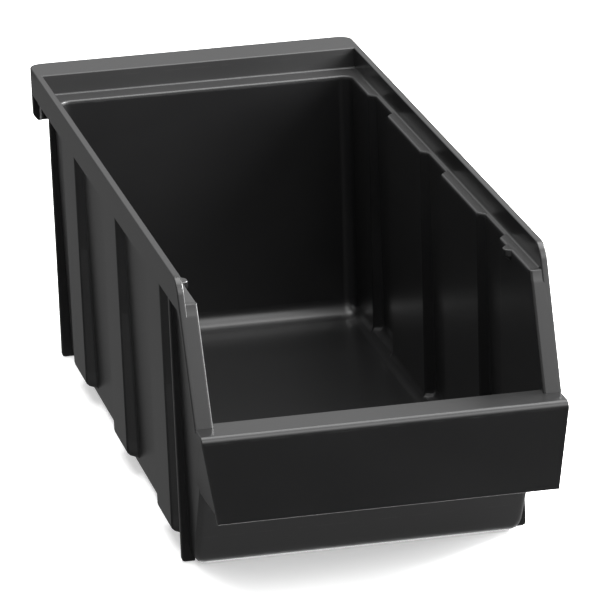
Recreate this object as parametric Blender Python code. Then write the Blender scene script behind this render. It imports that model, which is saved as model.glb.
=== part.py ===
"""Hopper-front stack-and-hang bin, moulded in black polypropylene.

The real bin is one moulding. Here each moulded region is a named solid of its own, with a hair gap to
its neighbours. X points right, -Y points to the open front, +Z points up, and the feet stand on Z = 0.
Places along the bin are given as a distance from its rear edge, which is how it is drawn.
"""

import math

import bmesh
import bpy

MM = 0.001
GAP = 0.3 * MM

# Overall size.
LENGTH = 374.7 * MM
WIDTH = 139.7 * MM
HEIGHT = 121.0 * MM
HALF_WIDTH = WIDTH / 2

# Wall thicknesses.
WALL = 2.5 * MM
RIM_WALL = 2.7 * MM

# Rim: an upright band that stands on the stacking ledge.
RIM_INNER_X = HALF_WIDTH - RIM_WALL
RIM_DEPTH = 12.3 * MM
RIM_BOTTOM_Z = HEIGHT - RIM_DEPTH
RIM_FRONT = 337.0 * MM
RIM_TOE = 346.5 * MM
LEDGE_DROP = 9.0 * MM
LEDGE_Z = HEIGHT - LEDGE_DROP
LEDGE_FRONT = 344.0 * MM

# Rear rail: the flat top, its hang lip and the step down to the rear ledge.
RAIL_WIDTH = 22.1 * MM
RAIL_CORNER_RADIUS = 6.0 * MM
HANG_LIP_DEPTH = 24.3 * MM
HANG_LIP_CHAMFER = 3.6 * MM
LIP_RETURN = 7.0 * MM

# Side walls: a corrugated sheet. Panels lean in towards the floor, and the bulges stand upright.
PANEL_TOP_X = 62.7 * MM
PANEL_FLOOR_X = 61.0 * MM
BULGE_INNER_X = 65.5 * MM
BULGE_REARS = [71.4 * MM, 167.8 * MM, 264.2 * MM]
BULGE_LENGTH = 30.0 * MM
BULGE_SLANT = 3.5 * MM
BULGE_BOTTOM_Z = 7.0 * MM
POCKET_FLOOR_Z = 9.0 * MM

# Rear wall, and the base that the walls stand on.
REAR_WALL_INNER = 33.0 * MM
REAR_WALL_LEAN = 1.6 * MM
FLOOR_Z = 6.7 * MM
FLOOR_THICKNESS = 2.6 * MM
FOOT_WIDTH = 8.4 * MM
BASE_RADIUS = 5.5 * MM
CORNER_RADIUS = 6.0 * MM

# Front: the leaning wall, the lip on top of it, and the apron that hangs from the lip.
LIP_Z = 69.6 * MM
LIP_INNER = 357.5 * MM
LIP_THICKNESS = 2.6 * MM
LIP_EDGE_DROP = 2.0 * MM
LIP_FLAT_END = 371.0 * MM
FRONT_LEAN = 0.667
FRONT_WALL_DEPTH = 3.0 * MM
APRON_TOP_X = 68.9 * MM
APRON_BOTTOM_X = 64.3 * MM
APRON_BOTTOM_Z = 35.8 * MM
APRON_TOP_Z = LIP_Z - LIP_THICKNESS - GAP

# Front posts: the flanges down the open ends of the side walls.
POST_TOP = 345.0 * MM
POST_FOOT = 363.0 * MM
POST_DEPTH = 3.0 * MM
POST_INNER_X = 63.0 * MM
POST_OUTER_X = 69.6 * MM
POST_TOP_Z = RIM_BOTTOM_Z - GAP

# Fins that guide the bin on the ledges of the one below, and the stop tabs on the ledges.
FIN_X = 67.0 * MM
FIN_THICKNESS = 2.4 * MM
FIN_REARS = {"rear": 30.0 * MM, "front": 306.2 * MM}
TAB_REAR = 310.5 * MM
TAB_LENGTH = 6.0 * MM
TAB_TIP_X = 60.0 * MM
TAB_DEPTH = 8.0 * MM

# Surface of the moulding.
BLACK = (0.012, 0.012, 0.013, 1.0)
ROUGHNESS = 0.42
ARC_STEPS = 6


def clear_scene():
    for item in list(bpy.data.objects):
        bpy.data.objects.remove(item, do_unlink=True)


def make_material(name):
    material = bpy.data.materials.new(name)
    material.use_nodes = True
    shader = material.node_tree.nodes["Principled BSDF"]
    shader.inputs["Base Color"].default_value = BLACK
    shader.inputs["Roughness"].default_value = ROUGHNESS
    shader.inputs["Metallic"].default_value = 0.0
    return material


def world_y(from_rear):
    return LENGTH / 2 - from_rear


def add_solid(name, mesh_builder):
    """A closed mesh object facing out, with its own black plastic."""
    mesh_builder.normal_update()
    bmesh.ops.recalc_face_normals(mesh_builder, faces=mesh_builder.faces)
    mesh = bpy.data.meshes.new(name)
    mesh_builder.to_mesh(mesh)
    mesh_builder.free()
    solid = bpy.data.objects.new(name, mesh)
    bpy.context.scene.collection.objects.link(solid)
    mesh.materials.append(make_material(name))
    return solid


def add_loft(name, lower, upper):
    """A solid between two outlines that have the same number of points, each an (x, y, z) triple."""
    builder = bmesh.new()
    low = [builder.verts.new(point) for point in lower]
    high = [builder.verts.new(point) for point in upper]
    builder.faces.new(low)
    builder.faces.new(high)
    for i in range(len(low)):
        j = (i + 1) % len(low)
        builder.faces.new((low[i], low[j], high[j], high[i]))
    return add_solid(name, builder)


def rectangle(x0, x1, rear, front, z):
    return [
        (x0, world_y(rear), z),
        (x1, world_y(rear), z),
        (x1, world_y(front), z),
        (x0, world_y(front), z),
    ]


def add_box(name, x0, x1, rear, front, z0, z1):
    return add_loft(name, rectangle(x0, x1, rear, front, z0), rectangle(x0, x1, rear, front, z1))


def add_side_profile(name, outline, x0, x1):
    """A solid whose (distance from the rear, height) outline runs from x0 to x1."""
    first = [(x0, world_y(along), z) for along, z in outline]
    second = [(x1, world_y(along), z) for along, z in outline]
    return add_loft(name, first, second)


def add_plan(name, outline, z0, z1):
    """A solid whose (x, distance from the rear) outline runs from z0 to z1."""
    first = [(x, world_y(along), z0) for x, along in outline]
    second = [(x, world_y(along), z1) for x, along in outline]
    return add_loft(name, first, second)


def arc(centre, radius, start_degrees, end_degrees):
    points = []
    for step in range(ARC_STEPS + 1):
        angle = math.radians(start_degrees + (end_degrees - start_degrees) * step / ARC_STEPS)
        points.append((centre[0] + radius * math.cos(angle), centre[1] + radius * math.sin(angle)))
    return points


def keep_inside(solid, guide):
    """Trims a solid to a hidden guide shape."""
    cut = solid.modifiers.new("trim", "BOOLEAN")
    cut.operation = "INTERSECT"
    cut.solver = "EXACT"
    cut.object = guide


def hide_guide(guide):
    guide.hide_render = True
    guide.display_type = "WIRE"


def front_wall_outer(z):
    """Distance from the rear of the leaning front wall's outer face at a height."""
    return LIP_INNER + FRONT_WALL_DEPTH - FRONT_LEAN * (LIP_Z - z)


def panel_inner_x(z):
    """Half the inside width between the side panels at a height."""
    share = (z - FLOOR_Z) / (LEDGE_Z - FLOOR_Z)
    return PANEL_FLOOR_X + (PANEL_TOP_X - PANEL_FLOOR_X) * share


def post_front(z):
    """Distance from the rear of the posts' sloping front face at a height."""
    share = (POST_TOP_Z - z) / (POST_TOP_Z - LIP_Z)
    return POST_TOP + (POST_FOOT - POST_TOP) * share


def wave(panel_x, bulge_x, rear, front):
    """One face of the corrugated side wall in plan, from rear to front."""
    points = [(panel_x, rear)]
    for start in BULGE_REARS:
        points += bulge_outline(panel_x, bulge_x, start)
    points.append((panel_x, front))
    return points


def bulge_outline(panel_x, bulge_x, start):
    end = start + BULGE_LENGTH
    return [(panel_x, start - BULGE_SLANT), (bulge_x, start), (bulge_x, end), (panel_x, end + BULGE_SLANT)]


def side_wall_section(side, z, rear, front):
    inner = panel_inner_x(z)
    outer_face = wave(inner + WALL, BULGE_INNER_X + WALL, rear, front)
    outline = [(inner, rear)] + outer_face + [(inner, front)]
    return [(side * x, world_y(along), z) for x, along in outline]


def hollow_bulge(wall, side, start):
    """Opens a pocket behind a bulge, which leaves a floor under it."""
    sections = []
    for z in (POCKET_FLOOR_Z, HEIGHT):
        outline = bulge_outline(panel_inner_x(z) - MM, BULGE_INNER_X, start)
        sections.append([(side * x, world_y(along), z) for x, along in outline])
    pocket = add_loft(wall.name + "_pocket", *sections)
    hide_guide(pocket)
    cut = wall.modifiers.new("pocket", "BOOLEAN")
    cut.operation = "DIFFERENCE"
    cut.solver = "EXACT"
    cut.object = pocket


def build_side_wall(name, side):
    top = RIM_BOTTOM_Z - GAP
    rear = REAR_WALL_INNER - WALL
    wall = add_loft(
        name,
        side_wall_section(side, BULGE_BOTTOM_Z, rear, LENGTH),
        side_wall_section(side, top, rear, LENGTH),
    )
    back_of_front_wall = FRONT_WALL_DEPTH + GAP
    outline = [
        (0.0, 0.0),
        (front_wall_outer(0.0) - back_of_front_wall, 0.0),
        (front_wall_outer(LIP_Z) - back_of_front_wall, LIP_Z),
        (post_front(LIP_Z) - POST_DEPTH - GAP, LIP_Z + GAP),
        (post_front(top) - POST_DEPTH - GAP, top),
        (post_front(top) - POST_DEPTH - GAP, HEIGHT),
        (0.0, HEIGHT),
    ]
    guide = add_side_profile(name + "_outline", outline, -WIDTH, WIDTH)
    hide_guide(guide)
    keep_inside(wall, guide)
    for start in BULGE_REARS:
        hollow_bulge(wall, side, start)
    return wall


def build_rear_wall():
    top = RIM_BOTTOM_Z - GAP
    bottom = FLOOR_Z + GAP
    sections = []
    for z, lean in ((bottom, REAR_WALL_LEAN), (top, 0.0)):
        inner = REAR_WALL_INNER + lean
        half = panel_inner_x(z) - GAP
        sections.append(rectangle(-half, half, inner - WALL, inner, z))
    return add_loft("rear_wall", *sections)


def build_front_wall():
    sections = []
    for z in (FLOOR_Z + GAP, LIP_Z - LIP_THICKNESS - GAP):
        outer = front_wall_outer(z)
        half = panel_inner_x(z) + WALL
        sections.append(rectangle(-half, half, outer - FRONT_WALL_DEPTH, outer, z))
    return add_loft("front_wall", *sections)


def build_base():
    """The floor panel and the feet around it, all trimmed to one base slab with rounded edges."""
    rear = REAR_WALL_INNER - WALL
    half_low = panel_inner_x(0.0) + WALL
    half_high = panel_inner_x(FLOOR_Z) + WALL
    guide = add_loft(
        "base_outline",
        rectangle(-half_low, half_low, rear, front_wall_outer(0.0), 0.0),
        rectangle(-half_high, half_high, rear, front_wall_outer(FLOOR_Z), FLOOR_Z),
    )
    hide_guide(guide)
    round_base_edges(guide)
    inner_x = half_low - FOOT_WIDTH
    rear_foot = rear + FOOT_WIDTH
    front_foot = front_wall_outer(0.0) - FOOT_WIDTH
    past = LENGTH
    regions = {
        "floor_panel": (-inner_x, inner_x, rear_foot, front_foot, FLOOR_Z - FLOOR_THICKNESS),
        "left_foot": (-past, -inner_x - GAP, rear_foot, front_foot, -MM),
        "right_foot": (inner_x + GAP, past, rear_foot, front_foot, -MM),
        "rear_foot": (-past, past, 0.0, rear_foot - GAP, -MM),
        "front_foot": (-past, past, front_foot + GAP, past, -MM),
    }
    for name, (x0, x1, start, end, bottom) in regions.items():
        region = add_box(name, x0, x1, start, end, bottom, FLOOR_Z + MM)
        keep_inside(region, guide)


def round_base_edges(guide):
    """Rounds the upright corners of the base slab, then its bottom edge."""
    builder = bmesh.new()
    builder.from_mesh(guide.data)
    upright = [e for e in builder.edges if abs(e.verts[0].co.z - e.verts[1].co.z) > MM]
    bmesh.ops.bevel(builder, geom=upright, offset=CORNER_RADIUS, segments=4, profile=0.5, affect="EDGES")
    bottom = [e for e in builder.edges if max(v.co.z for v in e.verts) < 0.1 * MM]
    bmesh.ops.bevel(builder, geom=bottom, offset=BASE_RADIUS, segments=4, profile=0.5, affect="EDGES")
    builder.to_mesh(guide.data)
    builder.free()


def build_rim_rail(name, side):
    outline = [
        (RAIL_WIDTH + GAP, RIM_BOTTOM_Z),
        (RAIL_WIDTH + GAP, HEIGHT),
        (RIM_FRONT, HEIGHT),
        (RIM_FRONT + 0.3 * (RIM_TOE - RIM_FRONT), HEIGHT - 0.15 * RIM_DEPTH),
        (RIM_TOE, LEDGE_Z),
        (RIM_TOE, RIM_BOTTOM_Z),
    ]
    return add_side_profile(name, outline, side * RIM_INNER_X, side * HALF_WIDTH)


def build_side_ledge(name, side):
    """The stacking ledge along a rim: wide above the panels and narrow above the bulges."""
    rear = REAR_WALL_INNER + GAP
    inner_edge = wave(PANEL_TOP_X, BULGE_INNER_X, rear, LEDGE_FRONT)
    outer_x = RIM_INNER_X - GAP
    outline = inner_edge + [(outer_x, LEDGE_FRONT), (outer_x, rear)]
    mirrored = [(side * x, along) for x, along in outline]
    return add_plan(name, mirrored, RIM_BOTTOM_Z, LEDGE_Z)


def build_rear_ledge():
    half = RIM_INNER_X - GAP
    start = RAIL_WIDTH + GAP
    return add_box("rear_ledge", -half, half, start, REAR_WALL_INNER, RIM_BOTTOM_Z, LEDGE_Z)


def rail_corners(inset):
    """The rear half of the rail's plan outline, from its left side to its right, moved in by inset."""
    centre_x = HALF_WIDTH - RAIL_CORNER_RADIUS
    radius = RAIL_CORNER_RADIUS - inset
    left = arc((-centre_x, RAIL_CORNER_RADIUS), radius, 180, 270)
    right = arc((centre_x, RAIL_CORNER_RADIUS), radius, 270, 360)
    return left + right


def build_rear_rail():
    plate_bottom = HEIGHT - WALL
    front_edge = [(HALF_WIDTH, RAIL_WIDTH), (-HALF_WIDTH, RAIL_WIDTH)]
    add_plan("rear_rail_top", rail_corners(0.0) + front_edge, plate_bottom, HEIGHT)
    under = plate_bottom - GAP
    half = RIM_INNER_X - GAP
    add_box("rear_rail_inner_wall", -half, half, RAIL_WIDTH - WALL, RAIL_WIDTH, RIM_BOTTOM_Z, under)
    for side, word in ((-1, "left"), (1, "right")):
        x0 = side * RIM_INNER_X
        x1 = side * HALF_WIDTH
        add_box(word + "_rail_cheek", x0, x1, LIP_RETURN + GAP, RAIL_WIDTH, RIM_BOTTOM_Z, under)


def build_hang_lip():
    """The lip that hangs behind the rear rail, turned forward at its ends, with its low corners cut off."""
    outer = [(-HALF_WIDTH, LIP_RETURN)] + rail_corners(0.0) + [(HALF_WIDTH, LIP_RETURN)]
    inset_x = HALF_WIDTH - WALL
    inner = [(-inset_x, LIP_RETURN)] + rail_corners(WALL) + [(inset_x, LIP_RETURN)]
    bottom = HEIGHT - HANG_LIP_DEPTH
    lip = add_plan("hang_lip", outer + inner[::-1], bottom, HEIGHT - WALL - GAP)
    guide = add_front_profile(
        "hang_lip_outline",
        [
            (-HALF_WIDTH + HANG_LIP_CHAMFER, bottom - MM),
            (HALF_WIDTH - HANG_LIP_CHAMFER, bottom - MM),
            (HALF_WIDTH + MM, bottom + HANG_LIP_CHAMFER),
            (HALF_WIDTH + MM, HEIGHT),
            (-HALF_WIDTH - MM, HEIGHT),
            (-HALF_WIDTH - MM, bottom + HANG_LIP_CHAMFER),
        ],
        -MM,
        RAIL_WIDTH,
    )
    hide_guide(guide)
    keep_inside(lip, guide)


def add_front_profile(name, outline, rear, front):
    """A solid whose (x, height) outline runs from one distance from the rear to another."""
    first = [(x, world_y(rear), z) for x, z in outline]
    second = [(x, world_y(front), z) for x, z in outline]
    return add_loft(name, first, second)


def build_front_post(name, side):
    foot_z = LIP_Z + GAP
    outline = [
        (post_front(POST_TOP_Z), POST_TOP_Z),
        (post_front(foot_z), foot_z),
        (post_front(foot_z) - POST_DEPTH, foot_z),
        (post_front(POST_TOP_Z) - POST_DEPTH, POST_TOP_Z),
    ]
    return add_side_profile(name, outline, side * POST_INNER_X, side * POST_OUTER_X)


def build_front_lip():
    underside = LIP_Z - LIP_THICKNESS
    outline = [
        (LIP_INNER, LIP_Z),
        (LIP_FLAT_END, LIP_Z),
        (LENGTH - 0.6 * MM, LIP_Z - 0.4 * LIP_EDGE_DROP),
        (LENGTH, LIP_Z - LIP_EDGE_DROP),
        (LENGTH, underside),
        (LIP_INNER, underside),
    ]
    return add_side_profile("front_lip", outline, -APRON_TOP_X, APRON_TOP_X)


def build_apron():
    outline = [
        (-APRON_BOTTOM_X, APRON_BOTTOM_Z),
        (APRON_BOTTOM_X, APRON_BOTTOM_Z),
        (APRON_TOP_X, APRON_TOP_Z),
        (-APRON_TOP_X, APRON_TOP_Z),
    ]
    return add_front_profile("label_apron", outline, LENGTH - WALL, LENGTH)


def build_apron_cheek(name, side):
    """The plate that closes the end of the gap between the apron and the leaning wall."""
    front = LENGTH - WALL - GAP
    sections = []
    for z, outer_x in ((APRON_BOTTOM_Z, APRON_BOTTOM_X), (APRON_TOP_Z, APRON_TOP_X)):
        rear = front_wall_outer(z) + GAP
        sections.append(rectangle(side * (outer_x - WALL), side * outer_x, rear, front, z))
    return add_loft(name, *sections)


def build_fin(name, side, rear):
    """An upright rib outside a side wall, from the rim down to the floor."""
    sections = []
    for z in (0.0, RIM_BOTTOM_Z - GAP):
        root = panel_inner_x(z) + WALL + GAP
        sections.append(rectangle(side * root, side * FIN_X, rear, rear + FIN_THICKNESS, z))
    return add_loft(name, *sections)


def build_stop_tab(name, side):
    root = PANEL_TOP_X - GAP
    bottom = LEDGE_Z - TAB_DEPTH
    return add_box(name, side * TAB_TIP_X, side * root, TAB_REAR, TAB_REAR + TAB_LENGTH, bottom, LEDGE_Z)


def build_bin():
    build_base()
    build_rear_wall()
    build_front_wall()
    build_front_lip()
    build_apron()
    build_rear_ledge()
    build_rear_rail()
    build_hang_lip()
    for side, word in ((-1, "left"), (1, "right")):
        build_side_wall(word + "_side_wall", side)
        build_rim_rail(word + "_rim_rail", side)
        build_side_ledge(word + "_ledge", side)
        build_front_post(word + "_front_post", side)
        build_apron_cheek(word + "_apron_cheek", side)
        build_stop_tab(word + "_stop_tab", side)
        for place, rear in FIN_REARS.items():
            build_fin(word + "_" + place + "_fin", side, rear)


clear_scene()
build_bin()
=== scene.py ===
"""Visual model of a hopper-front stack-and-hang bin, moulded in black polypropylene.

Lengths are in millimetres until a mesh is made. A place is (x, along, z): x to the right, along measured
from the rear edge towards the open front, and z up from the ground that the bin stands on.
"""

import math

import bmesh  # noqa: E402
import bpy  # noqa: E402
from mathutils import Matrix, Vector  # noqa: E402


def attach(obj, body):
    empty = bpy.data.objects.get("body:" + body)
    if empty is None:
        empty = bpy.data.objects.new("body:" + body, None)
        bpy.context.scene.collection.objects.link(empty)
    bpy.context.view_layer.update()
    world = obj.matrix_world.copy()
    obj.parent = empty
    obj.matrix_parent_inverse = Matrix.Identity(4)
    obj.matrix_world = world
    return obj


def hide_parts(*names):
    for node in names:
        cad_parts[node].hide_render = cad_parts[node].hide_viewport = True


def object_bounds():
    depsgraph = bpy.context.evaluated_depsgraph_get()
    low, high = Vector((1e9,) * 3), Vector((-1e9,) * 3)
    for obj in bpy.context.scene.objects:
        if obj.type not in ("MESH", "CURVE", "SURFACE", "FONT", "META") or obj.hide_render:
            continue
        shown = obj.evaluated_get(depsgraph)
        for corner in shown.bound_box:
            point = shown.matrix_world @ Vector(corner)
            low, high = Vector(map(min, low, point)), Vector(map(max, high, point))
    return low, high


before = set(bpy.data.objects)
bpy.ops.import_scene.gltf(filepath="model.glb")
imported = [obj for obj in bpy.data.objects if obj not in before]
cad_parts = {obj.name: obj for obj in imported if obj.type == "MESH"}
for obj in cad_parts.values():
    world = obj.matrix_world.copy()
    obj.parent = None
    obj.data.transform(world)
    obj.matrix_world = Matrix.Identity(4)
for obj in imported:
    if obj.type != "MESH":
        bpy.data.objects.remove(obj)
CAD_BOX = [list(corner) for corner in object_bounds()]
BODY = "root"

MM = 0.001
LENGTH = (CAD_BOX[1][1] - CAD_BOX[0][1]) / MM
HALF_WIDTH = (CAD_BOX[1][0] - CAD_BOX[0][0]) / 2 / MM
HEIGHT = CAD_BOX[1][2] / MM

# Walls. An x is a half width and, like a rear or front line, is that of the inner face unless it says outer.
WALL = 2.5
FLOOR_Z = 6.7
FLOOR_UNDERSIDE = 4.1
PANEL_FLOOR_X = 61.0
PANEL_TOP_X = 62.7
BULGE_X = 65.5
BULGE_FIRST = 71.4
BULGE_PITCH = 96.4
BULGE_REARS = [BULGE_FIRST + BULGE_PITCH * number for number in range(3)]
BULGE_LENGTH = 30.0
BULGE_SLANT = 3.5
BULGE_BLEND = 1.4
REAR_INNER = 33.0
REAR_LEAN = 1.6
REAR_CORNER = 5.0
FRONT_CORNER = 4.0
OUTER_CORNER = 6.0
FRONT_OUTER_CORNER = 2.6
INNER_WALL_TOP = 110.5
OUTER_WALL_TOP = 108.0
WALL_MIDDLE = 90.0
INNER_NEAR_TOP = 107.5
OUTER_NEAR_TOP = 106.0
WALL_STEP = 0.01
WALL_END_TO_LIP = 9.0
# How far from a corner's arc the flat part has its next column.
BESIDE_CORNER = 1.0

# The ledge that the next bin stands on, and the rim band outside it.
LEDGE_Z = HEIGHT - 9.0
LEDGE_UNDERSIDE = 109.0
LEDGE_HIDDEN_X = 68.5
LEDGE_HIDDEN_REAR = 21.0
LEDGE_OUTER_X = 66.7
LEDGE_OUTER_REAR = 29.0
LEDGE_CORNER = 0.3
LEDGE_FILLET = 0.85
LEDGE_BULGE_DRAFT = 0.05
EDGE_RADIUS = 0.8
RIM_WALL = 2.7
RIM_INNER_X = HALF_WIDTH - RIM_WALL
RIM_BOTTOM = 108.7
RIM_EDGE = 0.55
RIM_FRONT_RADIUS = 9.0
RIM_BACK_RADIUS = 5.0

# Rear rail and the lip that hangs behind it.
RAIL_WIDTH = 22.1
RAIL_CORNER = 6.0
PLATE_BOTTOM = HEIGHT - WALL
LIP_BOTTOM = HEIGHT - 24.3
LIP_CHAMFER = 3.6
LIP_RETURN = 9.0
LIP_STEP = 0.02
HANG_EDGE = 0.9
HANG_EDGE_MIDDLE = 0.3
RAIL_CHEEK_COLUMN = 14.0
RAIL_WALL_INTO_LEDGE = 0.2
RAIL_WALL_INTO_RIM = 0.4

# Base. The splits are where the feet of the side walls meet the rear and the front foot.
BASE_RADIUS = 5.5
FLOOR_FILLET = 4.5
REAR_FILLET = 7.5
REAR_FOOT_EXTRA = 3.6
REAR_SPLIT = REAR_INNER + REAR_LEAN + REAR_FILLET + 7.0
FRONT_SPLIT = 310.0
SIDE_FRONT = 300.0
FOOT_WIDTH = 8.4
BASE_TOP = 14.0
BASE_STARTS = (BASE_TOP, 13.0, 12.0)
LEAST_CORNER = 0.4
SQUARE_CORNER = 0.02
FRONT_CORNER_TAPER = 0.35
POCKET_FLOOR = 9.0
POCKET_RADIUS = 3.6
POCKET_SILL = 0.2
BULGE_BOTTOM = 7.3
BULGE_BOTTOM_RADIUS = 2.5
OUTER_BASE_LEVELS = (10.5, 9.0, 8.0, 7.4, 7.1, 6.9)
# The floor panel's front edge moves in by this share of what its sides do.
FLOOR_FRONT_SHARE = 0.6

# Leaning front wall, the lip on it and the apron in front of it.
FRONT_LEAN = 0.667
FRONT_WALL = 3.0
LIP_Z = 69.6
LIP_INNER = 357.5
LIP_THICKNESS = 2.7
LIP_NOSE = 2.6
LIP_BACK_RADIUS = 0.5
LIP_EDGE = 0.45
APRON_TOP_X = 68.9
APRON_BOTTOM_X = 64.3
APRON_BOTTOM = 35.8
APRON_TOP = LIP_Z - LIP_THICKNESS
APRON_DRAFT = 0.3
APRON_EDGE = 0.5
CHEEK_SET_BACK = 1.5
CHEEK_DEPTH = 9.0
CHEEK_EDGE = 0.4
CHEEK_TAPER = 0.3
CHEEK_INTO_WALL = 0.15
CHEEK_INTO_APRON = 0.2
CHEEK_INTO_LIP = 0.5

# Posts down the open ends of the side walls. Below the band a post's face runs flush into the band's edge.
POST_TOP = 345.5
POST_FOOT = 363.0
POST_DEPTH = 3.0
POST_FOOT_X = 69.1
POST_EDGE = 1.1
POST_RECESS = 0.4
POST_FLUSH = -0.01
POST_RECESS_START = 107.4
POST_RECESS_FULL = 108.4
POST_TOP_RADIUS = 0.4
POST_INTO_LIP = 1.0
POST_INTO_BAND = 0.8
BAND_INTO_LIP = 1.5

# Fins.
FIN_X = 67.0
FIN_THICKNESS = 2.4
FIN_EDGE = 0.4
FIN_CORNER = 1.2
FIN_CORNER_MIDDLE = 0.35
FIN_FOOT_X = 61.0
FIN_FOOT_SLANT = 0.8
FIN_ROOT_Z = 3.0
FIN_INTO_LEDGE = 0.3
FIN_REARS = {"rear": 30.0, "front": 306.2}
# Half width of a fin's buried edge, at its foot and under the ledge.
FIN_ROOTS = {"rear": (58.0, 63.0), "front": (61.2, 63.6)}

# Stop tabs. The first of two distances along is at the tab's root for the rear, and at its tip for the front.
TAB_TIP_X = 60.4
TAB_ROOT_X = 63.6
TAB_REARS = (306.9, 311.0)
TAB_FRONTS = (314.5, 316.7)
TAB_FOOT = 107.0
TAB_SHOULDER = 109.0
TAB_EDGE = 0.5
TAB_INTO_WALL = 2.0


def place(x, along, z):
    return (x * MM, (LENGTH / 2 - along) * MM, z * MM)


def mix(low, high, share):
    return low + (high - low) * share


def steps(low, high, count):
    return [mix(low, high, i / count) for i in range(count + 1)]


def quarter_turn(count):
    """Angles from 0 to 90 degrees, in radians."""
    return [math.radians(turn) for turn in steps(0, 90, count)]


def arc(centre_u, centre_v, radius, start, end, count):
    """Points of a circular arc in a plane, angles in degrees."""
    points = []
    for angle in steps(start, end, count):
        turn = math.radians(angle)
        points.append((centre_u + radius * math.cos(turn), centre_v + radius * math.sin(turn)))
    return points


# ---------------------------------------------------------------- mesh helpers


SHARP_ANGLE = math.radians(38)
EDGE_SEGMENTS = 4


def finish_mesh(nodes, solid, material):
    """Makes a smooth-shaded piece from (points in metres, faces), riding on the bin in place of CAD nodes."""
    points, faces = solid
    name = f"{nodes[0]}_skin"
    mesh = bpy.data.meshes.new(name)
    builder = bmesh.new()
    verts = [builder.verts.new(point) for point in points]
    for face in faces:
        builder.faces.new([verts[i] for i in face])
    bmesh.ops.remove_doubles(builder, verts=builder.verts, dist=0.002 * MM)
    bmesh.ops.dissolve_degenerate(builder, edges=builder.edges, dist=0.001 * MM)
    bmesh.ops.recalc_face_normals(builder, faces=builder.faces)
    builder.to_mesh(mesh)
    builder.free()
    mesh.shade_smooth()
    mesh.set_sharp_from_angle(angle=SHARP_ANGLE)
    piece = bpy.data.objects.new(name, mesh)
    bpy.context.scene.collection.objects.link(piece)
    normals = piece.modifiers.new("normals", "WEIGHTED_NORMAL")
    normals.keep_sharp = True
    mesh.materials.append(material)
    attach(piece, BODY)
    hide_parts(*nodes)


def finish_pair(node, solid, material):
    """Makes a piece on the right and its mirror image on the left."""
    points, faces = solid
    finish_mesh([f"right_{node}"], (points, faces), material)
    finish_mesh([f"left_{node}"], (mirrored(points), faces), material)


def mirrored(points):
    return [(-x, y, z) for x, y, z in points]


def shell(first, second):
    """A closed solid between two grids of points that have the same rows and columns."""
    assert len(first) == len(second), "both grids of a shell have as many rows"
    rows = len(first)
    columns = len(first[0])
    points = [point for row in first + second for point in row]
    faces = []

    def at(layer, row, column):
        return (layer * rows + row) * columns + column

    for row in range(rows - 1):
        for column in range(columns - 1):
            for layer in (0, 1):
                faces.append(
                    (
                        at(layer, row, column),
                        at(layer, row, column + 1),
                        at(layer, row + 1, column + 1),
                        at(layer, row + 1, column),
                    )
                )
        for column in (0, columns - 1):
            faces.append(
                (
                    at(0, row, column),
                    at(0, row + 1, column),
                    at(1, row + 1, column),
                    at(1, row, column),
                )
            )
    for column in range(columns - 1):
        for row in (0, rows - 1):
            faces.append(
                (
                    at(0, row, column),
                    at(0, row, column + 1),
                    at(1, row, column + 1),
                    at(1, row, column),
                )
            )
    return points, faces


def tube(loops):
    """A closed solid through a list of closed loops, with a face over each end."""
    count = len(loops[0])
    points = [point for loop in loops for point in loop]
    faces = [tuple(range(count)), tuple(range(len(points) - count, len(points)))]
    for i in range(len(loops) - 1):
        for j in range(count):
            k = (j + 1) % count
            faces.append((i * count + j, i * count + k, (i + 1) * count + k, (i + 1) * count + j))
    return points, faces


def inset(outline, distances):
    """The anticlockwise outline moved in, each edge (from a point to the next) by its own distance."""
    count = len(outline)
    moved = []
    for i in range(count):
        before = Vector(outline[i]) - Vector(outline[i - 1])
        after = Vector(outline[(i + 1) % count]) - Vector(outline[i])
        before.normalize()
        after.normalize()
        normal_before = Vector((-before.y, before.x))
        normal_after = Vector((-after.y, after.x))
        distance_before = distances[i - 1]
        distance_after = distances[i]
        cross = before.x * after.y - before.y * after.x
        if abs(cross) < 1e-4:
            shift = (normal_before * distance_before + normal_after * distance_after) / 2
        else:
            # The point that lies on both moved edges.
            difference = normal_after * distance_after - normal_before * distance_before
            slide = (difference.x * after.y - difference.y * after.x) / cross
            shift = normal_before * distance_before + before * slide
        moved.append((outline[i][0] + shift.x, outline[i][1] + shift.y))
    return moved


def slab(outline, low, high, radius, to_place, flush=(), round_low=True):
    """A plate with rounded edges: the outline, in its own plane, from low to high across that plane.

    The outline runs anticlockwise, and to_place turns (u, v, across) into a place. Edges named in flush, by
    the number of the point that they start at, stay square.
    """
    loops = []

    def add_loop(share_in, across):
        distances = [0.0 if i in flush else radius * share_in for i in range(len(outline))]
        loops.append([to_place(u, v, across) for u, v in inset(outline, distances)])

    turns = quarter_turn(EDGE_SEGMENTS)
    if round_low:
        for angle in turns:
            add_loop(1 - math.sin(angle), low + radius * (1 - math.cos(angle)))
    else:
        add_loop(0.0, low)
    for angle in reversed(turns):
        add_loop(1 - math.sin(angle), high - radius * (1 - math.cos(angle)))
    return tube(loops)


# ---------------------------------------------------------------- lines of the bin


def panel_inner(z):
    return mix(PANEL_FLOOR_X, PANEL_TOP_X, (z - FLOOR_Z) / (LEDGE_Z - FLOOR_Z))


def rear_inner(z):
    return REAR_INNER + REAR_LEAN * (LEDGE_Z - z) / (LEDGE_Z - FLOOR_Z)


def front_inner(z):
    return LIP_INNER - FRONT_LEAN * (LIP_Z - z)


def front_outer(z):
    return front_inner(z) + FRONT_WALL


def post_front(z):
    return mix(POST_FOOT, POST_TOP, (z - LIP_Z) / (LEDGE_Z - LIP_Z))


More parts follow.
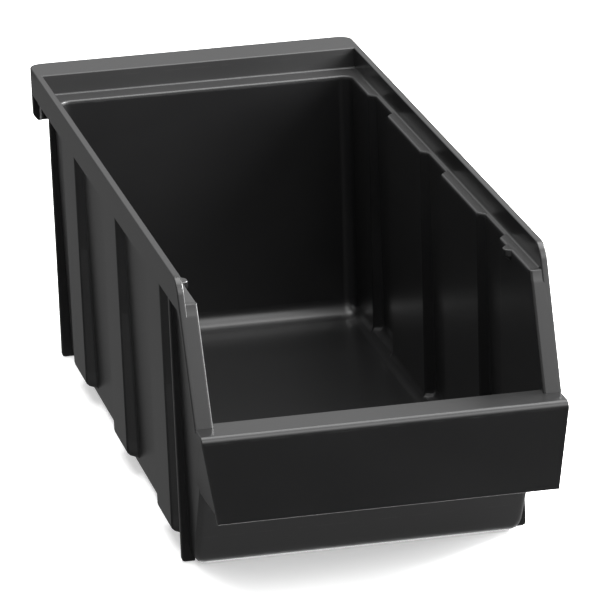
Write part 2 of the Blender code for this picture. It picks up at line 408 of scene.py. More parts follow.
def rounded_front(line, z, ground, radius):
    """How far forward a leaning face is at a height, with a fillet between it and the level ground."""
    lean = math.atan(FRONT_LEAN)
    tangent_z = ground + radius * (1 - math.sin(lean))
    if z >= tangent_z:
        return line(z)
    centre = line(tangent_z) - radius * math.cos(lean)
    rise = radius - (z - ground)
    return centre + math.sqrt(max(radius * radius - rise * rise, 0.0))


def rear_rounding(z):
    """How far the larger fillet at the foot of the rear wall comes forward at a height."""
    rise = max(0.0, REAR_FILLET - (z - FLOOR_Z))
    return REAR_FILLET - math.sqrt(max(REAR_FILLET * REAR_FILLET - rise * rise, 0.0))


def trapezoid(along, start):
    """1 over a bulge, 0 over a panel, with slanted steps between."""
    rising = (along - (start - BULGE_SLANT)) / BULGE_SLANT
    falling = ((start + BULGE_LENGTH + BULGE_SLANT) - along) / BULGE_SLANT
    return max(0.0, min(1.0, rising, falling))


def bulge_share(along):
    """The corrugation, with its corners rounded by averaging over a short window."""
    samples = [along + BULGE_BLEND * share for share in steps(-0.5, 0.5, 8)]
    return max(sum(trapezoid(sample, start) for sample in samples) / len(samples) for start in BULGE_REARS)


def side_columns(first, last):
    """Distances along a side wall where the mesh has a column, with a cluster at each corner of a bulge."""
    found = [first, last]
    for start in BULGE_REARS:
        end = start + BULGE_LENGTH
        for corner in (start - BULGE_SLANT, start, end, end + BULGE_SLANT):
            found += [corner + BULGE_BLEND * share for share in steps(-0.5, 0.5, 4)]
    return sorted(found)


SIDE_STATIONS = side_columns(REAR_SPLIT, SIDE_FRONT)


class Row:
    """One level line round the tub: a rounded rectangle with the corrugation on its sides.

    A row of the ledge has no front. At a bulge a row may lie further out, and bulge_z may move it up or down.
    """

    def __init__(self, x, z, rear, rear_radius, front=None, front_radius=None, bulge_x=None):
        self.x = x
        self.z = z
        self.rear = rear
        self.rear_radius = rear_radius
        self.front = front
        self.front_radius = front_radius
        self.bulge_x = x if bulge_x is None else bulge_x
        self.bulge_z = z

    def side_point(self, along):
        share = bulge_share(along)
        return place(mix(self.x, self.bulge_x, share), along, mix(self.z, self.bulge_z, share))

    def rear_half(self):
        """From the middle of the rear wall, round the right corner, on to the side wall."""
        radius = self.rear_radius
        points = [(0.0, self.rear), (self.x - radius - BESIDE_CORNER, self.rear)]
        points += arc(self.x - radius, self.rear + radius, radius, -90, 0, 6)
        return [place(x, along, self.z) for x, along in points] + [place(self.x, REAR_SPLIT, self.z)]

    def side(self, front):
        """Along the right side wall, from the rear corner's piece to a distance along."""
        return [self.side_point(along) for along in SIDE_STATIONS] + [place(self.x, front, self.z)]

    def front_half(self, split):
        """From the side wall, round the right front corner, to the middle of the front wall."""
        radius = self.front_radius
        points = [(self.x, split)]
        points += arc(self.x - radius, self.front - radius, radius, 0, 90, 6)
        points += [(self.x - radius - BESIDE_CORNER, self.front), (0.0, self.front)]
        return [place(x, along, self.z) for x, along in points]


def whole(half):
    """A line across the bin from its right half, which starts or ends on the middle plane."""
    if abs(half[0][0]) < 1e-9:
        return mirrored(half[:0:-1]) + half
    return half + mirrored(half[-2::-1])


def rear_shell(inner, outer):
    """The solid between two lists of rows round the rear of the tub."""
    return shell([whole(row.rear_half()) for row in inner], [whole(row.rear_half()) for row in outer])


def inner_row(z):
    return Row(
        panel_inner(z),
        z,
        rear_inner(z),
        REAR_CORNER,
        front=front_inner(z),
        front_radius=FRONT_CORNER,
        bulge_x=BULGE_X,
    )


def outer_row(z):
    return Row(
        panel_inner(z) + WALL,
        z,
        rear_inner(z) - WALL,
        OUTER_CORNER,
        front=front_outer(z),
        front_radius=FRONT_OUTER_CORNER,
        bulge_x=BULGE_X + WALL,
    )


def inner_base_rows():
    """Down the inside of the wall, round the floor fillet, to where the floor panel starts."""
    rows = [inner_row(z) for z in BASE_STARTS]
    for row in rows:
        row.rear += rear_rounding(row.z)
    pocket = arc(BULGE_X - POCKET_RADIUS, POCKET_FLOOR + POCKET_RADIUS, POCKET_RADIUS, 0, -90, 3)
    pocket.append((panel_inner(POCKET_FLOOR) - POCKET_SILL, POCKET_FLOOR))
    # One turn more than eighths, so that there are as many rows here as outside.
    turns = [0, 11.25, 22.5, 33.75, 40, 45, 56.25, 67.5, 78.75, 90]
    for number, turn in enumerate(turns):
        angle = math.radians(turn)
        shift = FLOOR_FILLET * (1 - math.cos(angle))
        z = FLOOR_Z + FLOOR_FILLET * (1 - math.sin(angle))
        row = inner_row(z)
        row.x -= shift
        row.rear += rear_rounding(z)
        row.front = rounded_front(front_inner, z, FLOOR_Z, FLOOR_FILLET)
        row.rear_radius = max(REAR_CORNER - shift, LEAST_CORNER)
        row.front_radius = max(FRONT_CORNER - shift, LEAST_CORNER)
        row.bulge_x, row.bulge_z = pocket[number] if number < len(pocket) else (row.x, row.z)
        rows.append(row)
    # The last row is where the floor panel starts, and has nearly square corners as the panel does.
    shift = FOOT_WIDTH - WALL
    edge = inner_row(FLOOR_Z)
    edge.x -= shift
    edge.bulge_x = edge.x
    edge.rear += shift + REAR_FOOT_EXTRA
    edge.front = rows[-1].front - shift * FLOOR_FRONT_SHARE
    edge.rear_radius = SQUARE_CORNER
    edge.front_radius = SQUARE_CORNER
    rows.append(edge)
    return rows


def outer_base_rows():
    """Down the outside of the wall, under the bulges and round the bottom edge to the ground.

    From there the inner side of the foot slopes up to the edge of the floor panel.
    """
    rows = [outer_row(z) for z in BASE_STARTS]
    centre_x = BULGE_X + WALL - BULGE_BOTTOM_RADIUS
    centre_z = BULGE_BOTTOM + BULGE_BOTTOM_RADIUS
    under = arc(centre_x, centre_z, BULGE_BOTTOM_RADIUS, 0, -90, 3)
    under.append((panel_inner(7.1) + WALL + 0.3, 7.15))
    for number, z in enumerate(OUTER_BASE_LEVELS):
        row = outer_row(z)
        row.bulge_x, row.bulge_z = under[number] if number < len(under) else (row.x, row.z)
        rows.append(row)
    for angle in quarter_turn(4):
        shift = BASE_RADIUS * (1 - math.cos(angle))
        z = BASE_RADIUS * (1 - math.sin(angle))
        row = outer_row(z)
        row.x -= shift
        row.bulge_x = row.x
        row.rear += shift
        row.front = rounded_front(front_outer, z, 0.0, BASE_RADIUS)
        row.rear_radius = max(OUTER_CORNER - shift, LEAST_CORNER)
        row.front_radius = FRONT_OUTER_CORNER - FRONT_CORNER_TAPER * shift
        rows.append(row)
    return rows


# ---------------------------------------------------------------- material


PLASTIC_IOR = 1.49
COAT_ROUGHNESS = 0.24
DARK_BODY = (0.0040, 0.0040, 0.0042, 1.0)
PALER_BODY = (0.0062, 0.0062, 0.0064, 1.0)
WORN_EDGE = (0.022, 0.022, 0.022, 1.0)
WEAR_WIDTH = 0.6


def object_noise(tree, scale, detail, stretch=(1, 1, 1)):
    """Noise that is fixed to the object."""
    where = tree.nodes.new("ShaderNodeTexCoord")
    mapping = tree.nodes.new("ShaderNodeMapping")
    mapping.inputs["Scale"].default_value = stretch
    tree.links.new(where.outputs["Object"], mapping.inputs["Vector"])
    texture = tree.nodes.new("ShaderNodeTexNoise")
    texture.inputs["Scale"].default_value = scale
    texture.inputs["Detail"].default_value = detail
    tree.links.new(mapping.outputs["Vector"], texture.inputs["Vector"])
    return texture.outputs["Fac"]


def object_dots(tree, scale):
    """Distance from the nearest of many scattered points, which is fixed to the object."""
    where = tree.nodes.new("ShaderNodeTexCoord")
    texture = tree.nodes.new("ShaderNodeTexVoronoi")
    texture.inputs["Scale"].default_value = scale
    tree.links.new(where.outputs["Object"], texture.inputs["Vector"])
    return texture.outputs["Distance"]


def remapped(tree, source, low, high, bottom, top):
    """The source brought from the range low to high into the range bottom to top."""
    remap = tree.nodes.new("ShaderNodeMapRange")
    remap.inputs["From Min"].default_value = low
    remap.inputs["From Max"].default_value = high
    remap.inputs["To Min"].default_value = bottom
    remap.inputs["To Max"].default_value = top
    tree.links.new(source, remap.inputs["Value"])
    return remap.outputs["Result"]


def mixed_colour(tree, factor, first, second):
    """Two colours mixed by a factor. Each is a colour's numbers or the output of a node."""
    mixer = tree.nodes.new("ShaderNodeMix")
    mixer.data_type = "RGBA"
    tree.links.new(factor, mixer.inputs["Factor"])
    for socket, colour in (("A", first), ("B", second)):
        if isinstance(colour, tuple):
            mixer.inputs[socket].default_value = colour
        else:
            tree.links.new(colour, mixer.inputs[socket])
    return mixer.outputs["Result"]


def edge_wear(tree):
    """How far handling has worn the surface: patches on the edges, where a bevelled normal turns away."""
    bevel = tree.nodes.new("ShaderNodeBevel")
    bevel.samples = 4
    bevel.inputs["Radius"].default_value = WEAR_WIDTH * MM
    turned = tree.nodes.new("ShaderNodeVectorMath")
    turned.operation = "DOT_PRODUCT"
    tree.links.new(bevel.outputs["Normal"], turned.inputs[0])
    tree.links.new(tree.nodes.new("ShaderNodeNewGeometry").outputs["Normal"], turned.inputs[1])
    edges = remapped(tree, turned.outputs["Value"], 0.99, 0.85, 0.0, 1.0)
    patches = remapped(tree, object_noise(tree, 160.0, 4.0), 0.45, 0.65, 0.0, 0.7)
    wear = tree.nodes.new("ShaderNodeMath")
    wear.operation = "MULTIPLY"
    tree.links.new(edges, wear.inputs[0])
    tree.links.new(patches, wear.inputs[1])
    return wear.outputs["Value"]


def bumped(tree, height, distance, strength, normal=None):
    """The surface's normal bent by a height, in metres, on top of another bent normal if one is given."""
    bump = tree.nodes.new("ShaderNodeBump")
    bump.inputs["Distance"].default_value = distance
    bump.inputs["Strength"].default_value = strength
    tree.links.new(height, bump.inputs["Height"])
    if normal is not None:
        tree.links.new(normal, bump.inputs["Normal"])
    return bump.outputs["Normal"]


def black_plastic(name, roughness, specular, coat, dotted=False):
    """Moulded polypropylene: near black, with a fine grain, faint flow marks and slightly worn edges."""
    material = bpy.data.materials.new(name)
    material.use_nodes = True
    tree = material.node_tree
    shader = tree.nodes["Principled BSDF"]
    shader.inputs["Metallic"].default_value = 0.0
    shader.inputs["IOR"].default_value = PLASTIC_IOR
    shader.inputs["Specular IOR Level"].default_value = specular
    shader.inputs["Coat Weight"].default_value = coat
    shader.inputs["Coat Roughness"].default_value = COAT_ROUGHNESS
    shader.inputs["Coat IOR"].default_value = PLASTIC_IOR

    flow = object_noise(tree, 9.0, 3.0, (1.0, 0.35, 1.6))
    body = mixed_colour(tree, remapped(tree, flow, 0.3, 0.7, 0.0, 1.0), DARK_BODY, PALER_BODY)
    tree.links.new(mixed_colour(tree, edge_wear(tree), body, WORN_EDGE), shader.inputs["Base Color"])
    gloss = remapped(tree, flow, 0.3, 0.7, roughness - 0.03, roughness + 0.04)
    tree.links.new(gloss, shader.inputs["Roughness"])

    normal = bumped(tree, object_noise(tree, 900.0, 2.0), 0.03 * MM, 0.35)
    if dotted:
        normal = bumped(tree, object_dots(tree, 1300.0), 0.1 * MM, 0.5, normal)
    tree.links.new(normal, shader.inputs["Normal"])
    return material


PLASTIC = black_plastic("black_polypropylene", roughness=0.42, specular=0.18, coat=0.7)
RAIL_PLASTIC = black_plastic("rail_polypropylene", roughness=0.55, specular=0.5, coat=0.32)
LEDGE_PLASTIC = black_plastic("ledge_polypropylene", roughness=0.55, specular=0.5, coat=0.45, dotted=True)


# ---------------------------------------------------------------- tub


def build_base():
    """The ring of feet with the foot of the walls, in four pieces, and the floor panel inside it."""
    inner = inner_base_rows()
    outer = outer_base_rows()
    finish_mesh(["rear_foot"], rear_shell(inner, outer), PLASTIC)
    front = shell(
        [whole(row.front_half(FRONT_SPLIT)) for row in inner],
        [whole(row.front_half(FRONT_SPLIT)) for row in outer],
    )
    finish_mesh(["front_foot"], front, PLASTIC)
    side = shell([row.side(FRONT_SPLIT) for row in inner], [row.side(FRONT_SPLIT) for row in outer])
    finish_pair("foot", side, PLASTIC)
    edge = inner[-1]
    corners = [(edge.x, edge.rear), (edge.x, edge.front), (-edge.x, edge.front), (-edge.x, edge.rear)]
    floor = tube([[place(x, along, z) for x, along in corners] for z in (FLOOR_UNDERSIDE, FLOOR_Z)])
    finish_mesh(["floor_panel"], floor, PLASTIC)


def low_wall_front(z):
    """Where a side wall ends, up to the lip: just behind the front wall's corner."""
    return mix(FRONT_SPLIT, LIP_INNER - WALL_END_TO_LIP, (z - BASE_TOP) / (LIP_Z - BASE_TOP))


def build_walls():
    """The walls from the base to under the ledge. Above the lip the side walls run on to the posts."""
    low_levels = [BASE_TOP, APRON_TOP]
    inner_low = [inner_row(z) for z in low_levels]
    outer_low = [outer_row(z) for z in low_levels]
    inner_high = [inner_row(z) for z in (APRON_TOP + WALL_STEP, WALL_MIDDLE, INNER_NEAR_TOP, INNER_WALL_TOP)]
    outer_high = [outer_row(z) for z in (APRON_TOP + WALL_STEP, WALL_MIDDLE, OUTER_NEAR_TOP, OUTER_WALL_TOP)]

    def side_lines(low, high):
        lines = [row.side(low_wall_front(row.z)) for row in low]
        return lines + [row.side(post_front(row.z) - POST_DEPTH) for row in high]

    side = shell(side_lines(inner_low, inner_high), side_lines(outer_low, outer_high))
    finish_pair("side_wall", side, PLASTIC)
    finish_mesh(["rear_wall"], rear_shell(inner_low + inner_high, outer_low + outer_high), PLASTIC)
    front = shell(
        [whole(row.front_half(low_wall_front(row.z))) for row in inner_low],
        [whole(row.front_half(low_wall_front(row.z))) for row in outer_low],
    )
    finish_mesh(["front_wall"], front, PLASTIC)


def upper_ledge_rows():
    """Up the inside of the wall, over the edge of the ledge, across it and up the fillet to the rim."""
    rows = [inner_row(INNER_WALL_TOP)]
    for angle in quarter_turn(4):
        out = EDGE_RADIUS * (1 - math.cos(angle))
        row = inner_row(LEDGE_Z - EDGE_RADIUS)
        row.z += EDGE_RADIUS * math.sin(angle)
        row.x += out
        row.rear -= out
        row.rear_radius += out
        row.bulge_x += out
        row.bulge_z = row.z
        rows.append(row)
    for angle in quarter_turn(5):
        out = LEDGE_FILLET * (1 - math.sin(angle))
        rise = LEDGE_FILLET * (1 - math.cos(angle))
        rows.append(Row(RIM_INNER_X - out, LEDGE_Z + rise, RAIL_WIDTH + out, LEDGE_CORNER))
    rows.append(Row(LEDGE_HIDDEN_X, LEDGE_Z + LEDGE_FILLET, LEDGE_HIDDEN_REAR, LEDGE_CORNER))
    return rows


def lower_ledge_rows():
    """Up the outside of the wall, round the corner under the ledge and out along its underside."""
    rows = [outer_row(OUTER_WALL_TOP)]
    for angle in quarter_turn(4):
        out = EDGE_RADIUS * (1 - math.cos(angle))
        row = outer_row(LEDGE_UNDERSIDE - EDGE_RADIUS)
        row.z += EDGE_RADIUS * math.sin(angle)
        row.x += out
        row.rear -= out
        row.bulge_x += out / 2
        row.bulge_z = row.z
        rows.append(row)
    for share in steps(0, 1, 6):
        x = mix(LEDGE_OUTER_X, LEDGE_HIDDEN_X, share)
        rear = mix(LEDGE_OUTER_REAR, LEDGE_HIDDEN_REAR, share)
        bulge_x = LEDGE_HIDDEN_X - LEDGE_BULGE_DRAFT * (1 - share)
        rows.append(Row(x, LEDGE_UNDERSIDE, rear, OUTER_CORNER, bulge_x=bulge_x))
    return rows


def build_ledges():
    """The ledges inside the rim, with the top of the walls under them."""
    upper = upper_ledge_rows()
    lower = lower_ledge_rows()
    front = post_front(LEDGE_Z) - POST_DEPTH
    side = shell([row.side(front) for row in upper], [row.side(front) for row in lower])
    finish_pair("ledge", side, LEDGE_PLASTIC)
    finish_mesh(["rear_ledge"], rear_shell(upper, lower), LEDGE_PLASTIC)


# ---------------------------------------------------------------- rim, rail and posts


def rim_outline():
    """Side view of the rim band and the outer edge of the post, anticlockwise in (along, z).

    Its first three edges meet the rear rail's plate.
    """
    fall = math.atan((POST_FOOT - POST_TOP) / (LEDGE_Z - LIP_Z))
    end_angle = math.degrees(fall)
    turn = math.pi / 2 - fall
    foot_z = LIP_Z - BAND_INTO_LIP
    back = POST_DEPTH / math.cos(fall)
    # The fillet between the lower edge of the band and the back of the post.
    reach_back = RIM_BACK_RADIUS * math.tan(turn / 2)
    centre_back = (post_front(RIM_BOTTOM) - back - reach_back, RIM_BOTTOM - RIM_BACK_RADIUS)
    reach = RIM_FRONT_RADIUS * math.tan(turn / 2)
    centre = (post_front(HEIGHT) - reach, HEIGHT - RIM_FRONT_RADIUS)
    outline = [
        (RAIL_WIDTH + RIM_EDGE, HEIGHT),
        (RAIL_WIDTH + RIM_EDGE, PLATE_BOTTOM),
        (RAIL_WIDTH, PLATE_BOTTOM),
        (RAIL_WIDTH, RIM_BOTTOM),
    ]
    outline += arc(*centre_back, RIM_BACK_RADIUS, 90, end_angle, 8)
    outline += [(post_front(foot_z) - back, foot_z), (post_front(foot_z), foot_z)]
    outline += arc(*centre, RIM_FRONT_RADIUS, end_angle, 90, 10)
    return outline


def post_outer(z):
    """Half width at the post's outer face, which drafts in towards the lip."""
    if z >= RIM_BOTTOM:
        return HALF_WIDTH
    return mix(POST_FOOT_X, HALF_WIDTH, (z - LIP_Z) / (RIM_BOTTOM - LIP_Z))


def build_rim():
    """The upright band round the sides, which runs on down the front as the outer edge of the post."""

    def to_place(along, z, across):
        return place(across - (HALF_WIDTH - post_outer(z)), along, z)

    band = slab(rim_outline(), RIM_INNER_X, HALF_WIDTH, RIM_EDGE, to_place, flush=(0, 1, 2))
    finish_pair("rim_rail", band, PLASTIC)


def post_loop(z, rounding, recess):
    """Level outline of the post's flange, set back by the rounding of its top edge and by its recess."""
    front = post_front(z) - recess - rounding
    back = post_front(z) - POST_DEPTH
    inner = panel_inner(z) + rounding
    outer = RIM_INNER_X + POST_INTO_BAND
    corner = arc(inner + POST_EDGE, front - POST_EDGE, POST_EDGE, 180, 90, 6)
    outline = [(inner, back)] + corner + [(outer, front), (outer, back)]
    return [place(x, along, z) for x, along in outline]


def build_posts():
    """The flange inside the rim band's front edge, down to the lip."""
    edge_z = LEDGE_Z - POST_TOP_RADIUS
    loops = [
        post_loop(LIP_Z - POST_INTO_LIP, 0.0, POST_FLUSH),
        post_loop(POST_RECESS_START, 0.0, POST_FLUSH),
        post_loop(POST_RECESS_FULL, 0.0, POST_RECESS),
    ]
    for angle in quarter_turn(3):
        rounding = POST_TOP_RADIUS * (1 - math.cos(angle))
        loops.append(post_loop(edge_z + POST_TOP_RADIUS * math.sin(angle), rounding, POST_RECESS))
    finish_pair("front_post", tube(loops), PLASTIC)


def rail_path(inwards):
    """Plan line along the rail's outer edge, moved in, from the right end round the rear to the left end."""
    x = HALF_WIDTH - inwards
    centre = HALF_WIDTH - RAIL_CORNER
    half = [(x, RAIL_WIDTH), (x, RAIL_CHEEK_COLUMN), (x, LIP_RETURN + LIP_STEP), (x, LIP_RETURN)]
    half += arc(centre, RAIL_CORNER, RAIL_CORNER - inwards, 0, -90, 8)
    half += [(0.0, inwards)]
    return half + [(-x, along) for x, along in half[-2::-1]]


def build_rail():
    """The rail's top plate, with the start of the two side bands, and the wall under its front edge."""
    outline = [(x, -along) for x, along in rail_path(0.0)[1:-1]]
    joint = RAIL_WIDTH + RIM_EDGE
    front = [
        (-HALF_WIDTH, -joint),
        (-RIM_INNER_X, -joint),
        (-RIM_INNER_X, -RAIL_WIDTH),
        (RIM_INNER_X, -RAIL_WIDTH),
        (RIM_INNER_X, -joint),
        (HALF_WIDTH, -joint),
    ]

    def to_place(x, minus_along, z):
        return place(x, -minus_along, z)

    flush = (len(outline), len(outline) + 4)
    plate = slab(outline + front, PLATE_BOTTOM, HEIGHT, RIM_EDGE, to_place, flush, round_low=False)
    finish_mesh(["rear_rail_top"], plate, RAIL_PLASTIC)
    back = RAIL_WIDTH - WALL
    foot = LEDGE_UNDERSIDE + RAIL_WALL_INTO_LEDGE
    section = [(back, PLATE_BOTTOM), (back, foot), (RAIL_WIDTH, foot), (RAIL_WIDTH, PLATE_BOTTOM)]
    end = RIM_INNER_X + RAIL_WALL_INTO_RIM
    inner_wall = tube([[place(x, along, z) for along, z in section] for x in (-end, end)])
    finish_mesh(["rear_rail_inner_wall"], inner_wall, RAIL_PLASTIC)


def build_hang_lip():
    """The lip behind the rail and its returns, and the rail's cheeks in front of them."""
    # From outside to inside: how far in, and how far above the lower edge. None is up at the plate.
    section = [
        (0.0, None),
        (0.0, HANG_EDGE),
        (HANG_EDGE_MIDDLE, HANG_EDGE_MIDDLE),
        (HANG_EDGE, 0.0),
        (WALL - HANG_EDGE, 0.0),
        (WALL - HANG_EDGE_MIDDLE, HANG_EDGE_MIDDLE),
        (WALL, HANG_EDGE),
        (WALL, None),
    ]
    paths = [rail_path(inwards) for inwards, _ in section]
    loops = []
    for number, (_, outer_along) in enumerate(paths[0]):
        loop = []
        for (_, rise), path in zip(section, paths):
            x, along = path[number]
            if rise is None:
                z = PLATE_BOTTOM
            elif outer_along > LIP_RETURN:
                z = RIM_BOTTOM + rise
            else:
                z = LIP_BOTTOM + max(0.0, abs(x) - (HALF_WIDTH - LIP_CHAMFER)) + rise
            loop.append(place(x, along, z))
        loops.append(loop)
    finish_mesh(["hang_lip", "left_rail_cheek", "right_rail_cheek"], tube(loops), PLASTIC)


# ---------------------------------------------------------------- front lip, apron and cheeks


def apron_x(z):
    return mix(APRON_BOTTOM_X, APRON_TOP_X, (z - APRON_BOTTOM) / (APRON_TOP - APRON_BOTTOM))


def build_lip():
    """The level lip on the front wall, with a rounded nose over the apron."""
    back = LIP_INNER + LIP_BACK_RADIUS
    outline = [(back, APRON_TOP), (LENGTH, APRON_TOP)]
    outline += arc(LENGTH - LIP_NOSE, LIP_Z - LIP_NOSE, LIP_NOSE, 0, 90, 8)
    outline += arc(back, LIP_Z - LIP_BACK_RADIUS, LIP_BACK_RADIUS, 90, 180, 3)
    outline += [(LIP_INNER, APRON_TOP)]

    def to_place(along, z, across):
        return place(across, along, z)

    lip = slab(outline, -APRON_TOP_X, APRON_TOP_X, LIP_EDGE, to_place, flush=(0, len(outline) - 1))
    finish_mesh(["front_lip"], lip, PLASTIC)


def build_apron():
    """The label apron, which hangs from the lip and narrows and drafts back towards its lower edge."""
    outline = [
        (-APRON_BOTTOM_X, APRON_BOTTOM),
        (APRON_BOTTOM_X, APRON_BOTTOM),
        (APRON_TOP_X, APRON_TOP),
        (-APRON_TOP_X, APRON_TOP),
    ]

    def to_place(x, z, across):
        draft = APRON_DRAFT * (APRON_TOP - z) / (APRON_TOP - APRON_BOTTOM)
        return place(x, across - draft, z)

    apron = slab(outline, LENGTH - WALL, LENGTH, APRON_EDGE, to_place, flush=(2,))
    finish_mesh(["label_apron"], apron, PLASTIC)


def build_cheeks():
    """The plates that close the ends of the gap behind the apron, flaring out of the side walls."""
    loops = []
    top = APRON_TOP + CHEEK_INTO_LIP
    for z, rounding in ((APRON_BOTTOM, CHEEK_EDGE), (APRON_BOTTOM + CHEEK_EDGE, 0.0), (top, 0.0)):
        rear = front_outer(z) - CHEEK_DEPTH
        rear_x = panel_inner(z) + WALL - CHEEK_INTO_WALL
        front = LENGTH - WALL + CHEEK_INTO_APRON
        front_x = apron_x(z) - CHEEK_SET_BACK
        loops.append(
            [
                place(rear_x - rounding, rear, z),
                place(front_x - rounding, front, z),
                place(front_x - WALL + rounding, front, z),
                place(rear_x - WALL + rounding + CHEEK_TAPER, rear, z),
            ]
        )
    finish_pair("apron_cheek", tube(loops), PLASTIC)


# ---------------------------------------------------------------- fins and tabs


def build_fins():
    """Upright plates across the outside of the walls, from the ground to the ledge."""

    def to_place(x, z, across):
        return place(x, across, z)

    top = LEDGE_UNDERSIDE + FIN_INTO_LEDGE
    for end, rear in FIN_REARS.items():
        root_foot, root_top = FIN_ROOTS[end]
        outline = [
            (root_foot, FIN_ROOT_Z),
            (max(FIN_FOOT_X, root_foot + FIN_FOOT_SLANT), 0.0),
            (FIN_X - FIN_CORNER, 0.0),
            (FIN_X - FIN_CORNER_MIDDLE, FIN_CORNER_MIDDLE),
            (FIN_X, FIN_CORNER),
            (FIN_X, top),
            (root_top, top),
        ]
        finish_pair(f"{end}_fin", slab(outline, rear, rear + FIN_THICKNESS, FIN_EDGE, to_place), PLASTIC)


def tab_loop(z, tip_x, rounding):
    """Level outline of a stop tab, moved in by the rounding except where it is buried in the wall."""
    outline = [
        (TAB_ROOT_X + TAB_INTO_WALL, -TAB_FRONTS[1]),
        (TAB_ROOT_X + TAB_INTO_WALL, -TAB_REARS[0]),
        (TAB_ROOT_X, -TAB_REARS[0]),
        (tip_x + 0.5, -TAB_REARS[1] + 0.6),
        (tip_x, -TAB_REARS[1] - 0.4),
        (tip_x, -TAB_FRONTS[0] + 0.3),
        (tip_x + 0.5, -TAB_FRONTS[0] - 0.4),
        (TAB_ROOT_X, -TAB_FRONTS[1]),
    ]
    distances = [0.0] + [rounding] * (len(outline) - 1)
    return [place(x, -minus_along, z) for x, minus_along in inset(outline, distances)]


def build_tabs():
    """The stop tabs: prongs in the plane of the ledge, with a sloping underside that runs into the wall."""
    top = LEDGE_Z - 0.01
    loops = [
        tab_loop(TAB_FOOT, TAB_ROOT_X - 0.6, 0.0),
        tab_loop(TAB_SHOULDER, TAB_TIP_X + 0.3, 0.0),
        tab_loop(TAB_SHOULDER + 0.6, TAB_TIP_X, 0.0),
    ]
    for angle in quarter_turn(4):
        rounding = TAB_EDGE * (1 - math.cos(angle))
        loops.append(tab_loop(top - TAB_EDGE * (1 - math.sin(angle)), TAB_TIP_X, rounding))
    finish_pair("stop_tab", tube(loops), PLASTIC)


# ---------------------------------------------------------------- stage, lights and camera


FLOOR_SIZE = 6.0
FLOOR_GLOW = 0.4

# The studio round the bin: the light from every direction, and what each softbox or sheet adds to it,
# as (axis, full within, none beyond, strength), the angles in degrees.
STUDIO_FILL = 0.10
STUDIO_LOBES = [
    ((0.0, 0.0, 1.0), 68.0, 90.0, 0.63),
    ((0.0, 0.0, -1.0), 35.0, 60.0, 0.17),
    ((0.185, 0.60, -0.78), 8.0, 20.0, 3.0),
    ((0.97, 0.0, 0.10), 10.0, 24.0, 16.0),
    ((0.44, -0.71, 0.56), 5.0, 27.0, 2.6),
    ((0.10, -0.55, 0.83), 12.0, 26.0, 3.0),
    ((-0.25, 0.93, -0.05), 10.0, 30.0, 0.07),
    ((-0.72, -0.66, -0.20), 8.0, 40.0, 0.40),
    ((0.70, 0.68, -0.20), 8.0, 35.0, 0.50),
]

# The camera's place in metres, its angles in degrees and its lens in millimetres.
CAMERA_PLACE = (-0.393632, -2.037035, 0.678625)
CAMERA_YAW = 11.11509
CAMERA_PITCH = 16.55077
CAMERA_ROLL = 2.48902
CAMERA_LENS = 326.4
SENSOR_WIDTH = 36.0


def pale_paper():
    """Matt pale paper that glows a little, so that it stays nearly white."""
    material = bpy.data.materials.new("pale_floor")
    material.use_nodes = True
    shader = material.node_tree.nodes["Principled BSDF"]
    shader.inputs["Base Color"].default_value = (0.9, 0.9, 0.9, 1.0)
    shader.inputs["Roughness"].default_value = 0.8
    shader.inputs["Emission Color"].default_value = (1.0, 1.0, 1.0, 1.0)
    shader.inputs["Emission Strength"].default_value = FLOOR_GLOW
    return material


def build_stage():
    """A plain pale floor, just under the bin's feet."""
    size = FLOOR_SIZE
    mesh = bpy.data.meshes.new("floor")
    corners = [(-size, -size, 0), (size, -size, 0), (size, size, 0), (-size, size, 0)]
    mesh.from_pydata(corners, [], [(0, 1, 2, 3)])
    mesh.materials.append(pale_paper())
    floor = bpy.data.objects.new("floor", mesh)
    bpy.context.scene.collection.objects.link(floor)
    floor.location.z = -0.2 * MM
    # The plastic mirrors the studio below it, which stands for a sweep of paper, and not this flat sheet.
    floor.visible_glossy = False
    floor.visible_shadow = False


def add_light(name, where, target, size, power):
    light = bpy.data.lights.new(name, "AREA")
    light.shape = "RECTANGLE"
    light.size, light.size_y = size
    light.energy = power
    lamp = bpy.data.objects.new(name, light)
    bpy.context.scene.collection.objects.link(lamp)
    lamp.location = where
    lamp.rotation_mode = "QUATERNION"
    lamp.rotation_quaternion = (Vector(target) - Vector(where)).to_track_quat("-Z", "Y")


def lobe(tree, direction, axis, inner, outer, strength):
    """Light from round an axis: full within the inner angle, none beyond the outer one."""
    dot = tree.nodes.new("ShaderNodeVectorMath")
    dot.operation = "DOT_PRODUCT"
    dot.inputs[1].default_value = Vector(axis).normalized()
    tree.links.new(direction, dot.inputs[0])
    fall = tree.nodes.new("ShaderNodeMapRange")
    fall.interpolation_type = "SMOOTHSTEP"
    fall.inputs["From Min"].default_value = math.cos(math.radians(outer))
    fall.inputs["From Max"].default_value = math.cos(math.radians(inner))
    fall.inputs["To Max"].default_value = strength
    tree.links.new(dot.outputs["Value"], fall.inputs["Value"])
    return fall.outputs["Result"]


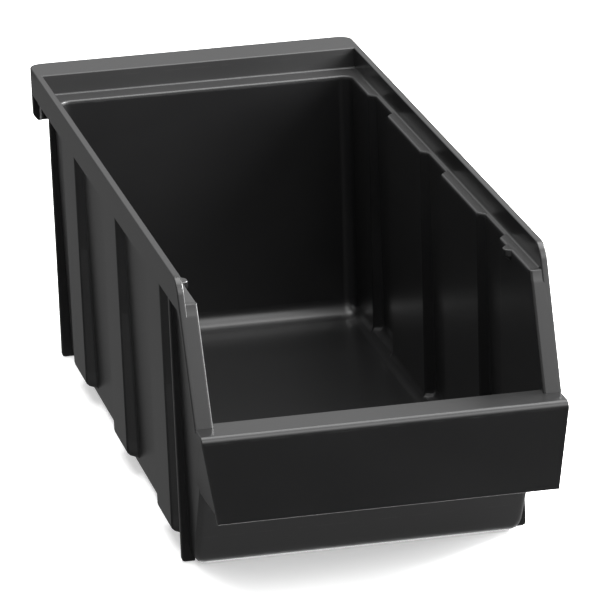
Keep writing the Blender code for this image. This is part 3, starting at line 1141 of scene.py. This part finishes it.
def build_studio():
    """The light that comes from all round, as the sum of the fill and the lobes."""
    world = bpy.data.worlds.new("studio")
    bpy.context.scene.world = world
    world.use_nodes = True
    tree = world.node_tree
    background = tree.nodes["Background"]
    background.inputs["Color"].default_value = (1.0, 1.0, 1.0, 1.0)
    direction = tree.nodes.new("ShaderNodeTexCoord").outputs["Generated"]
    total = None
    for axis, inner, outer, strength in STUDIO_LOBES:
        added = tree.nodes.new("ShaderNodeMath")
        added.operation = "ADD"
        added.inputs[1].default_value = STUDIO_FILL
        tree.links.new(lobe(tree, direction, axis, inner, outer, strength), added.inputs[0])
        if total is not None:
            tree.links.new(total, added.inputs[1])
        total = added.outputs["Value"]
    tree.links.new(total, background.inputs["Strength"])


def build_lights():
    add_light("overhead", (0.0, 0.25, 1.5), (0.0, 0.0, 0.0), (1.4, 1.2), 25.0)
    add_light("inside_fill", (0.40, -0.02, 0.33), (-0.02, 0.154, 0.10), (0.22, 0.22), 10.0)
    build_studio()


def build_camera():
    yaw, pitch, roll = (math.radians(value) for value in (CAMERA_YAW, CAMERA_PITCH, CAMERA_ROLL))
    forward = Vector((math.sin(yaw) * math.cos(pitch), math.cos(yaw) * math.cos(pitch), -math.sin(pitch)))
    level_right = Vector((math.cos(yaw), -math.sin(yaw), 0.0))
    level_down = forward.cross(level_right)
    right = level_right * math.cos(roll) + level_down * math.sin(roll)
    down = level_down * math.cos(roll) - level_right * math.sin(roll)
    camera = bpy.data.objects.new("camera", bpy.data.cameras.new("camera"))
    bpy.context.scene.collection.objects.link(camera)
    camera.data.sensor_width = SENSOR_WIDTH
    camera.data.lens = CAMERA_LENS
    camera.data.clip_start = 0.05
    camera.data.clip_end = 50.0
    axes = Matrix((right, -down, -forward)).transposed()
    camera.matrix_world = Matrix.Translation(CAMERA_PLACE) @ axes.to_4x4()
    bpy.context.scene.camera = camera


build_base()
build_walls()
build_ledges()
build_rim()
build_posts()
build_rail()
build_hang_lip()
build_lip()
build_apron()
build_cheeks()
build_fins()
build_tabs()
build_stage()
build_lights()
build_camera()
bpy.context.scene.view_settings.view_transform = "Standard"

bpy.context.view_layer.update()
